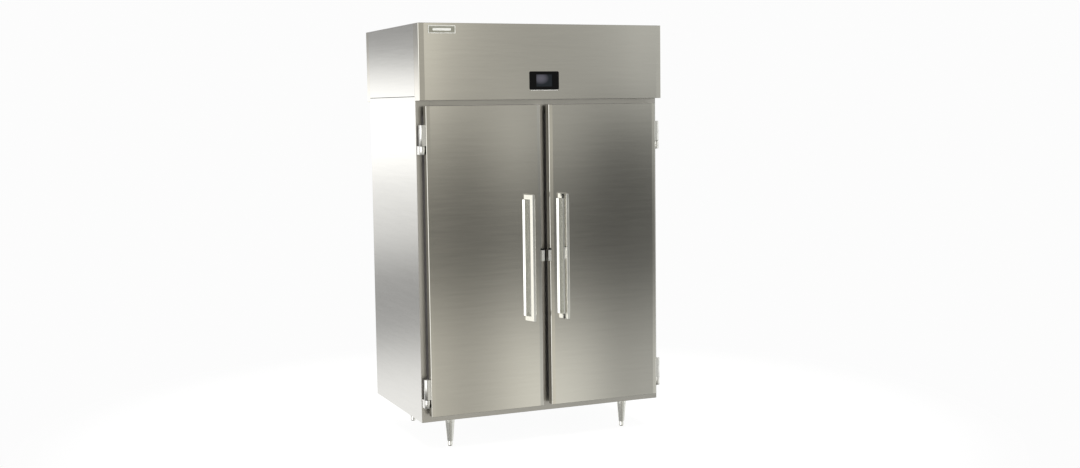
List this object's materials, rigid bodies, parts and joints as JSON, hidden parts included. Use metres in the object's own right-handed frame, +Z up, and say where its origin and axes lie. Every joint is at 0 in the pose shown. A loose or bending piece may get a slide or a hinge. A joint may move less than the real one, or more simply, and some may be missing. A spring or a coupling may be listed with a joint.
{
  "type": "proofing cabinet",
  "caption": "Reach-in proofing cabinet: insulated stainless box on bullet legs, overhanging control hood, hinged doors with long pulls, wire shelves, fan heater and steam tank inside.",
  "frame": {"origin": "centre of the floor rectangle under the whole cabinet, handles and rear cover included", "axes": "+Z up, -Y is the front with the doors, +X to the right seen from the front"},
  "size_m": [1.314, 0.962, 2.115],
  "materials": {
    "stainless_sheet": "horizontal brushed grain",
    "galvanised_sheet": "plain galvanised sheet",
    "liner_sheet": "fine satin",
    "shelf_wire": "bright plated wire",
    "insulation_foam": "foamed in place",
    "gasket_rubber": "dark grey, soft",
    "breaker_plastic": "moulded",
    "polished_steel": "polished",
    "pin_steel": "turned",
    "display_plastic": "gloss black",
    "display_glass": "dark glass",
    "board_plastic": "circuit board",
    "badge_plate": "blank satin plate",
    "motor_cast": "painted casting",
    "heater_steel": "heat-dulled sheath",
    "tank_steel": "plain welded sheet",
    "inlet_brass": "machined",
    "inlet_plastic": "black moulding"
  },
  "bodies": {
    "cabinet": {"air_duct": "liner_sheet", "air_heater": "heater_steel", "back_liner": "liner_sheet", "back_panel": "stainless_sheet", "badge_plate": "badge_plate", "bottom_panel": "galvanised_sheet", "breaker_strips": "breaker_plastic", "cabinet_insulation": "insulation_foam", "ceiling_liner": "liner_sheet", "centre_mullion": "stainless_sheet", "control_board": "board_plastic", "display_bezel": "display_plastic", "display_screen": "display_glass", "fan_motor": "motor_cast", "floor_liner": "liner_sheet", "frame_bottom_rail": "stainless_sheet", "frame_top_rail": "stainless_sheet", "hinge_brackets": "polished_steel", "hinge_pins": "pin_steel", "hood_fascia": "stainless_sheet", "hood_left_panel": "stainless_sheet", "hood_rear_cover": "stainless_sheet", "hood_right_panel": "stainless_sheet", "hood_top_cover": "stainless_sheet", "left_frame_stile": "stainless_sheet", "left_liner": "liner_sheet", "left_shelves": "shelf_wire", "left_side_panel": "stainless_sheet", "leg_plates": "galvanised_sheet", "legs": "polished_steel", "power_inlet": "inlet_plastic", "right_frame_stile": "stainless_sheet", "right_liner": "liner_sheet", "right_shelves": "shelf_wire", "right_side_panel": "stainless_sheet", "shelf_clips": "liner_sheet", "shelf_pilasters": "liner_sheet", "steam_pipe": "tank_steel", "steam_tank": "tank_steel", "top_panel": "galvanised_sheet", "water_inlet": "inlet_brass"},
    "left_door": {"left_door_skin": "stainless_sheet", "left_door_liner": "liner_sheet", "left_door_insulation": "insulation_foam", "left_door_gasket": "gasket_rubber", "left_door_handle": "polished_steel", "left_lock_case": "stainless_sheet", "left_hinge_arms": "polished_steel"},
    "right_door": {"right_door_skin": "stainless_sheet", "right_door_liner": "liner_sheet", "right_door_insulation": "insulation_foam", "right_door_gasket": "gasket_rubber", "right_door_handle": "polished_steel", "right_lock_case": "stainless_sheet", "right_hinge_arms": "polished_steel"},
    "fan": {"fan_wheel": "pin_steel"},
    "front_left_levelling_foot": {"front_left_foot": "polished_steel"},
    "front_right_levelling_foot": {"front_right_foot": "polished_steel"},
    "rear_left_levelling_foot": {"rear_left_foot": "polished_steel"},
    "rear_right_levelling_foot": {"rear_right_foot": "polished_steel"}
  },
  "joints": [
    {"name": "left_door_hinge", "type": "hinge", "parent": "cabinet", "child": "left_door", "pos_m": [-0.64, -0.395, 0.9], "axis": [0, 0, 1], "range_deg": [-120, 0]},
    {"name": "right_door_hinge", "type": "hinge", "parent": "cabinet", "child": "right_door", "pos_m": [0.64, -0.395, 0.9], "axis": [0, 0, 1], "range_deg": [0, 120]},
    {"name": "fan_spin", "type": "hinge", "parent": "cabinet", "child": "fan", "pos_m": [0, 0.0155, 1.7], "axis": [0, 0, 1], "continuous": true},
    {"name": "front_left_foot_screw", "type": "slide", "parent": "cabinet", "child": "front_left_levelling_foot", "axis": [0, 0, -1], "range_m": [0, 0.038]},
    {"name": "front_right_foot_screw", "type": "slide", "parent": "cabinet", "child": "front_right_levelling_foot", "axis": [0, 0, -1], "range_m": [0, 0.038]},
    {"name": "rear_left_foot_screw", "type": "slide", "parent": "cabinet", "child": "rear_left_levelling_foot", "axis": [0, 0, -1], "range_m": [0, 0.038]},
    {"name": "rear_right_foot_screw", "type": "slide", "parent": "cabinet", "child": "rear_right_levelling_foot", "axis": [0, 0, -1], "range_m": [0, 0.038]}
  ]
}
